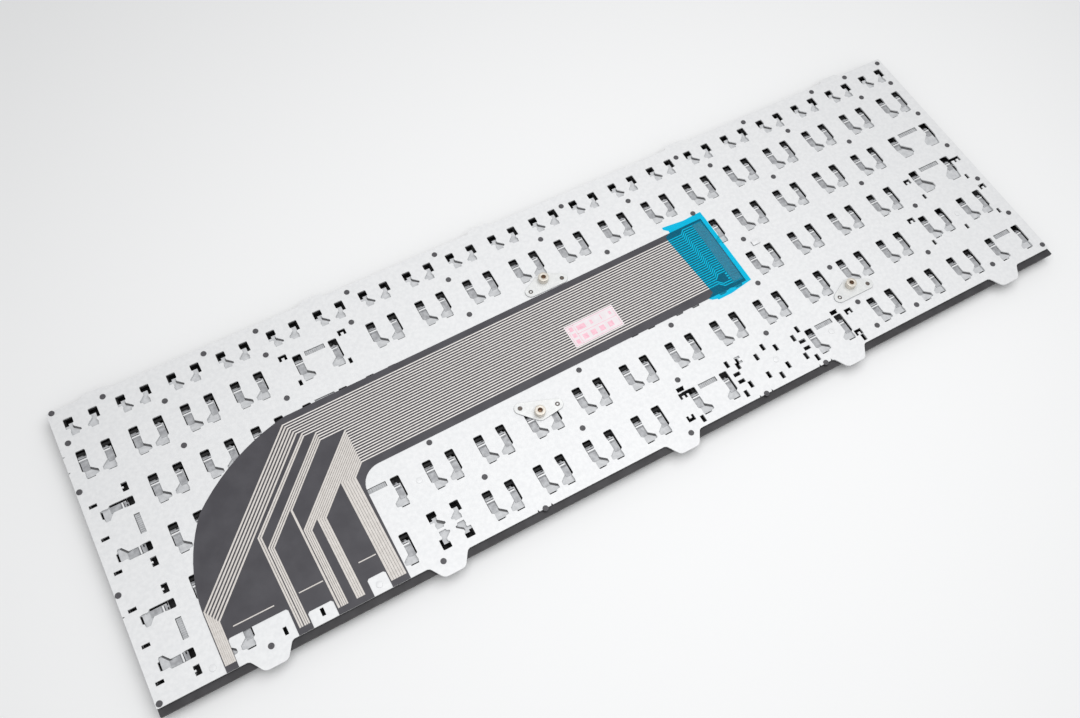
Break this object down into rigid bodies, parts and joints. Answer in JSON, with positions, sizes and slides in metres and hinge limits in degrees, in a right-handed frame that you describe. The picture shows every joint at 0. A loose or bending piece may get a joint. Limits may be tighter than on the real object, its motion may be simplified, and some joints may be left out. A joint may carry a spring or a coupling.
{
  "type": "laptop replacement keyboard",
  "caption": "Slim laptop keyboard with numeric pad, lying face down: stamped steel back plate with clip slots, folded film tail with traces, threaded bosses, and sprung keys.",
  "frame": {"origin": "under the middle of the outline, on the plane of the keytops", "axes": "+X from the numeric pad to the escape side, +Y from the space bar to the function row, +Z from the keytops to the back plate"},
  "size_m": [0.35, 0.1126, 0.0082],
  "materials": {
    "plate_steel": "satin zinc",
    "frame_black": "fine matte",
    "cap_black": "fine matte",
    "film_clear": "frosted",
    "film_grey": "satin",
    "dome_rubber": "matte",
    "wire_steel": "drawn",
    "boss_steel": "nickel",
    "tape_blue": "gloss",
    "label_paper": "printed"
  },
  "bodies": {
    "keyboard": {"back_plate": "plate_steel", "key_frame": "frame_black", "upper_film": "film_clear", "spacer_film": "film_clear", "circuit_film": "film_grey", "rubber_domes": "dome_rubber", "stabiliser_wires": "wire_steel", "boss_plates": "boss_steel", "threaded_bosses": "boss_steel", "tail_tape": "tape_blue", "tail_label": "label_paper", "function_row_keys": "cap_black", "number_row_keys": "cap_black", "numpad_keys": "cap_black", "bottom_row_keys": "cap_black"},
    "key_backslash": {"key_backslash": "cap_black"},
    "key_right_bracket": {"key_right_bracket": "cap_black"},
    "key_left_bracket": {"key_left_bracket": "cap_black"},
    "key_p": {"key_p": "cap_black"},
    "key_o": {"key_o": "cap_black"},
    "key_i": {"key_i": "cap_black"},
    "key_u": {"key_u": "cap_black"},
    "key_y": {"key_y": "cap_black"},
    "key_t": {"key_t": "cap_black"},
    "key_r": {"key_r": "cap_black"},
    "key_e": {"key_e": "cap_black"},
    "key_w": {"key_w": "cap_black"},
    "key_q": {"key_q": "cap_black"},
    "key_tab": {"key_tab": "cap_black"},
    "key_enter": {"key_enter": "cap_black"},
    "key_quote": {"key_quote": "cap_black"},
    "key_semicolon": {"key_semicolon": "cap_black"},
    "key_l": {"key_l": "cap_black"},
    "key_k": {"key_k": "cap_black"},
    "key_j": {"key_j": "cap_black"},
    "key_h": {"key_h": "cap_black"},
    "key_g": {"key_g": "cap_black"},
    "key_f": {"key_f": "cap_black"},
    "key_d": {"key_d": "cap_black"},
    "key_s": {"key_s": "cap_black"},
    "key_a": {"key_a": "cap_black"},
    "key_caps_lock": {"key_caps_lock": "cap_black"},
    "key_right_shift": {"key_right_shift": "cap_black"},
    "key_extra": {"key_extra": "cap_black"},
    "key_slash": {"key_slash": "cap_black"},
    "key_period": {"key_period": "cap_black"},
    "key_comma": {"key_comma": "cap_black"},
    "key_m": {"key_m": "cap_black"},
    "key_n": {"key_n": "cap_black"},
    "key_b": {"key_b": "cap_black"},
    "key_v": {"key_v": "cap_black"},
    "key_c": {"key_c": "cap_black"},
    "key_x": {"key_x": "cap_black"},
    "key_z": {"key_z": "cap_black"},
    "key_left_shift": {"key_left_shift": "cap_black"},
    "key_space": {"key_space": "cap_black"}
  },
  "joints": [
    {"name": "key_backslash_press", "type": "slide", "parent": "keyboard", "child": "key_backslash", "axis": [0, 0, 1], "range_m": [0, 0.0018], "stiffness_N_per_m": 250, "springref_m": -0.001, "deforming": ["rubber_domes", "stabiliser_wires"]},
    {"name": "key_right_bracket_press", "type": "slide", "parent": "keyboard", "child": "key_right_bracket", "axis": [0, 0, 1], "range_m": [0, 0.0018], "stiffness_N_per_m": 250, "springref_m": -0.001, "deforming": ["rubber_domes", "stabiliser_wires"]},
    {"name": "key_left_bracket_press", "type": "slide", "parent": "keyboard", "child": "key_left_bracket", "axis": [0, 0, 1], "range_m": [0, 0.0018], "stiffness_N_per_m": 250, "springref_m": -0.001, "deforming": ["rubber_domes", "stabiliser_wires"]},
    {"name": "key_p_press", "type": "slide", "parent": "keyboard", "child": "key_p", "axis": [0, 0, 1], "range_m": [0, 0.0018], "stiffness_N_per_m": 250, "springref_m": -0.001, "deforming": ["rubber_domes", "stabiliser_wires"]},
    {"name": "key_o_press", "type": "slide", "parent": "keyboard", "child": "key_o", "axis": [0, 0, 1], "range_m": [0, 0.0018], "stiffness_N_per_m": 250, "springref_m": -0.001, "deforming": ["rubber_domes", "stabiliser_wires"]},
    {"name": "key_i_press", "type": "slide", "parent": "keyboard", "child": "key_i", "axis": [0, 0, 1], "range_m": [0, 0.0018], "stiffness_N_per_m": 250, "springref_m": -0.001, "deforming": ["rubber_domes", "stabiliser_wires"]},
    {"name": "key_u_press", "type": "slide", "parent": "keyboard", "child": "key_u", "axis": [0, 0, 1], "range_m": [0, 0.0018], "stiffness_N_per_m": 250, "springref_m": -0.001, "deforming": ["rubber_domes", "stabiliser_wires"]},
    {"name": "key_y_press", "type": "slide", "parent": "keyboard", "child": "key_y", "axis": [0, 0, 1], "range_m": [0, 0.0018], "stiffness_N_per_m": 250, "springref_m": -0.001, "deforming": ["rubber_domes", "stabiliser_wires"]},
    {"name": "key_t_press", "type": "slide", "parent": "keyboard", "child": "key_t", "axis": [0, 0, 1], "range_m": [0, 0.0018], "stiffness_N_per_m": 250, "springref_m": -0.001, "deforming": ["rubber_domes", "stabiliser_wires"]},
    {"name": "key_r_press", "type": "slide", "parent": "keyboard", "child": "key_r", "axis": [0, 0, 1], "range_m": [0, 0.0018], "stiffness_N_per_m": 250, "springref_m": -0.001, "deforming": ["rubber_domes", "stabiliser_wires"]},
    {"name": "key_e_press", "type": "slide", "parent": "keyboard", "child": "key_e", "axis": [0, 0, 1], "range_m": [0, 0.0018], "stiffness_N_per_m": 250, "springref_m": -0.001, "deforming": ["rubber_domes", "stabiliser_wires"]},
    {"name": "key_w_press", "type": "slide", "parent": "keyboard", "child": "key_w", "axis": [0, 0, 1], "range_m": [0, 0.0018], "stiffness_N_per_m": 250, "springref_m": -0.001, "deforming": ["rubber_domes", "stabiliser_wires"]},
    {"name": "key_q_press", "type": "slide", "parent": "keyboard", "child": "key_q", "axis": [0, 0, 1], "range_m": [0, 0.0018], "stiffness_N_per_m": 250, "springref_m": -0.001, "deforming": ["rubber_domes", "stabiliser_wires"]},
    {"name": "key_tab_press", "type": "slide", "parent": "keyboard", "child": "key_tab", "axis": [0, 0, 1], "range_m": [0, 0.0018], "stiffness_N_per_m": 250, "springref_m": -0.001, "deforming": ["rubber_domes", "stabiliser_wires"]},
    {"name": "key_enter_press", "type": "slide", "parent": "keyboard", "child": "key_enter", "axis": [0, 0, 1], "range_m": [0, 0.0018], "stiffness_N_per_m": 250, "springref_m": -0.001, "deforming": ["rubber_domes", "stabiliser_wires"]},
    {"name": "key_quote_press", "type": "slide", "parent": "keyboard", "child": "key_quote", "axis": [0, 0, 1], "range_m": [0, 0.0018], "stiffness_N_per_m": 250, "springref_m": -0.001, "deforming": ["rubber_domes", "stabiliser_wires"]},
    {"name": "key_semicolon_press", "type": "slide", "parent": "keyboard", "child": "key_semicolon", "axis": [0, 0, 1], "range_m": [0, 0.0018], "stiffness_N_per_m": 250, "springref_m": -0.001, "deforming": ["rubber_domes", "stabiliser_wires"]},
    {"name": "key_l_press", "type": "slide", "parent": "keyboard", "child": "key_l", "axis": [0, 0, 1], "range_m": [0, 0.0018], "stiffness_N_per_m": 250, "springref_m": -0.001, "deforming": ["rubber_domes", "stabiliser_wires"]},
    {"name": "key_k_press", "type": "slide", "parent": "keyboard", "child": "key_k", "axis": [0, 0, 1], "range_m": [0, 0.0018], "stiffness_N_per_m": 250, "springref_m": -0.001, "deforming": ["rubber_domes", "stabiliser_wires"]},
    {"name": "key_j_press", "type": "slide", "parent": "keyboard", "child": "key_j", "axis": [0, 0, 1], "range_m": [0, 0.0018], "stiffness_N_per_m": 250, "springref_m": -0.001, "deforming": ["rubber_domes", "stabiliser_wires"]},
    {"name": "key_h_press", "type": "slide", "parent": "keyboard", "child": "key_h", "axis": [0, 0, 1], "range_m": [0, 0.0018], "stiffness_N_per_m": 250, "springref_m": -0.001, "deforming": ["rubber_domes", "stabiliser_wires"]},
    {"name": "key_g_press", "type": "slide", "parent": "keyboard", "child": "key_g", "axis": [0, 0, 1], "range_m": [0, 0.0018], "stiffness_N_per_m": 250, "springref_m": -0.001, "deforming": ["rubber_domes", "stabiliser_wires"]},
    {"name": "key_f_press", "type": "slide", "parent": "keyboard", "child": "key_f", "axis": [0, 0, 1], "range_m": [0, 0.0018], "stiffness_N_per_m": 250, "springref_m": -0.001, "deforming": ["rubber_domes", "stabiliser_wires"]},
    {"name": "key_d_press", "type": "slide", "parent": "keyboard", "child": "key_d", "axis": [0, 0, 1], "range_m": [0, 0.0018], "stiffness_N_per_m": 250, "springref_m": -0.001, "deforming": ["rubber_domes", "stabiliser_wires"]},
    {"name": "key_s_press", "type": "slide", "parent": "keyboard", "child": "key_s", "axis": [0, 0, 1], "range_m": [0, 0.0018], "stiffness_N_per_m": 250, "springref_m": -0.001, "deforming": ["rubber_domes", "stabiliser_wires"]},
    {"name": "key_a_press", "type": "slide", "parent": "keyboard", "child": "key_a", "axis": [0, 0, 1], "range_m": [0, 0.0018], "stiffness_N_per_m": 250, "springref_m": -0.001, "deforming": ["rubber_domes", "stabiliser_wires"]},
    {"name": "key_caps_lock_press", "type": "slide", "parent": "keyboard", "child": "key_caps_lock", "axis": [0, 0, 1], "range_m": [0, 0.0018], "stiffness_N_per_m": 250, "springref_m": -0.001, "deforming": ["rubber_domes", "stabiliser_wires"]},
    {"name": "key_right_shift_press", "type": "slide", "parent": "keyboard", "child": "key_right_shift", "axis": [0, 0, 1], "range_m": [0, 0.0018], "stiffness_N_per_m": 250, "springref_m": -0.001, "deforming": ["rubber_domes", "stabiliser_wires"]},
    {"name": "key_extra_press", "type": "slide", "parent": "keyboard", "child": "key_extra", "axis": [0, 0, 1], "range_m": [0, 0.0018], "stiffness_N_per_m": 250, "springref_m": -0.001, "deforming": ["rubber_domes", "stabiliser_wires"]},
    {"name": "key_slash_press", "type": "slide", "parent": "keyboard", "child": "key_slash", "axis": [0, 0, 1], "range_m": [0, 0.0018], "stiffness_N_per_m": 250, "springref_m": -0.001, "deforming": ["rubber_domes", "stabiliser_wires"]},
    {"name": "key_period_press", "type": "slide", "parent": "keyboard", "child": "key_period", "axis": [0, 0, 1], "range_m": [0, 0.0018], "stiffness_N_per_m": 250, "springref_m": -0.001, "deforming": ["rubber_domes", "stabiliser_wires"]},
    {"name": "key_comma_press", "type": "slide", "parent": "keyboard", "child": "key_comma", "axis": [0, 0, 1], "range_m": [0, 0.0018], "stiffness_N_per_m": 250, "springref_m": -0.001, "deforming": ["rubber_domes", "stabiliser_wires"]},
    {"name": "key_m_press", "type": "slide", "parent": "keyboard", "child": "key_m", "axis": [0, 0, 1], "range_m": [0, 0.0018], "stiffness_N_per_m": 250, "springref_m": -0.001, "deforming": ["rubber_domes", "stabiliser_wires"]},
    {"name": "key_n_press", "type": "slide", "parent": "keyboard", "child": "key_n", "axis": [0, 0, 1], "range_m": [0, 0.0018], "stiffness_N_per_m": 250, "springref_m": -0.001, "deforming": ["rubber_domes", "stabiliser_wires"]},
    {"name": "key_b_press", "type": "slide", "parent": "keyboard", "child": "key_b", "axis": [0, 0, 1], "range_m": [0, 0.0018], "stiffness_N_per_m": 250, "springref_m": -0.001, "deforming": ["rubber_domes", "stabiliser_wires"]},
    {"name": "key_v_press", "type": "slide", "parent": "keyboard", "child": "key_v", "axis": [0, 0, 1], "range_m": [0, 0.0018], "stiffness_N_per_m": 250, "springref_m": -0.001, "deforming": ["rubber_domes", "stabiliser_wires"]},
    {"name": "key_c_press", "type": "slide", "parent": "keyboard", "child": "key_c", "axis": [0, 0, 1], "range_m": [0, 0.0018], "stiffness_N_per_m": 250, "springref_m": -0.001, "deforming": ["rubber_domes", "stabiliser_wires"]},
    {"name": "key_x_press", "type": "slide", "parent": "keyboard", "child": "key_x", "axis": [0, 0, 1], "range_m": [0, 0.0018], "stiffness_N_per_m": 250, "springref_m": -0.001, "deforming": ["rubber_domes", "stabiliser_wires"]},
    {"name": "key_z_press", "type": "slide", "parent": "keyboard", "child": "key_z", "axis": [0, 0, 1], "range_m": [0, 0.0018], "stiffness_N_per_m": 250, "springref_m": -0.001, "deforming": ["rubber_domes", "stabiliser_wires"]},
    {"name": "key_left_shift_press", "type": "slide", "parent": "keyboard", "child": "key_left_shift", "axis": [0, 0, 1], "range_m": [0, 0.0018], "stiffness_N_per_m": 250, "springref_m": -0.001, "deforming": ["rubber_domes", "stabiliser_wires"]},
    {"name": "key_space_press", "type": "slide", "parent": "keyboard", "child": "key_space", "axis": [0, 0, 1], "range_m": [0, 0.0018], "stiffness_N_per_m": 250, "springref_m": -0.001, "deforming": ["rubber_domes", "stabiliser_wires"]}
  ]
}
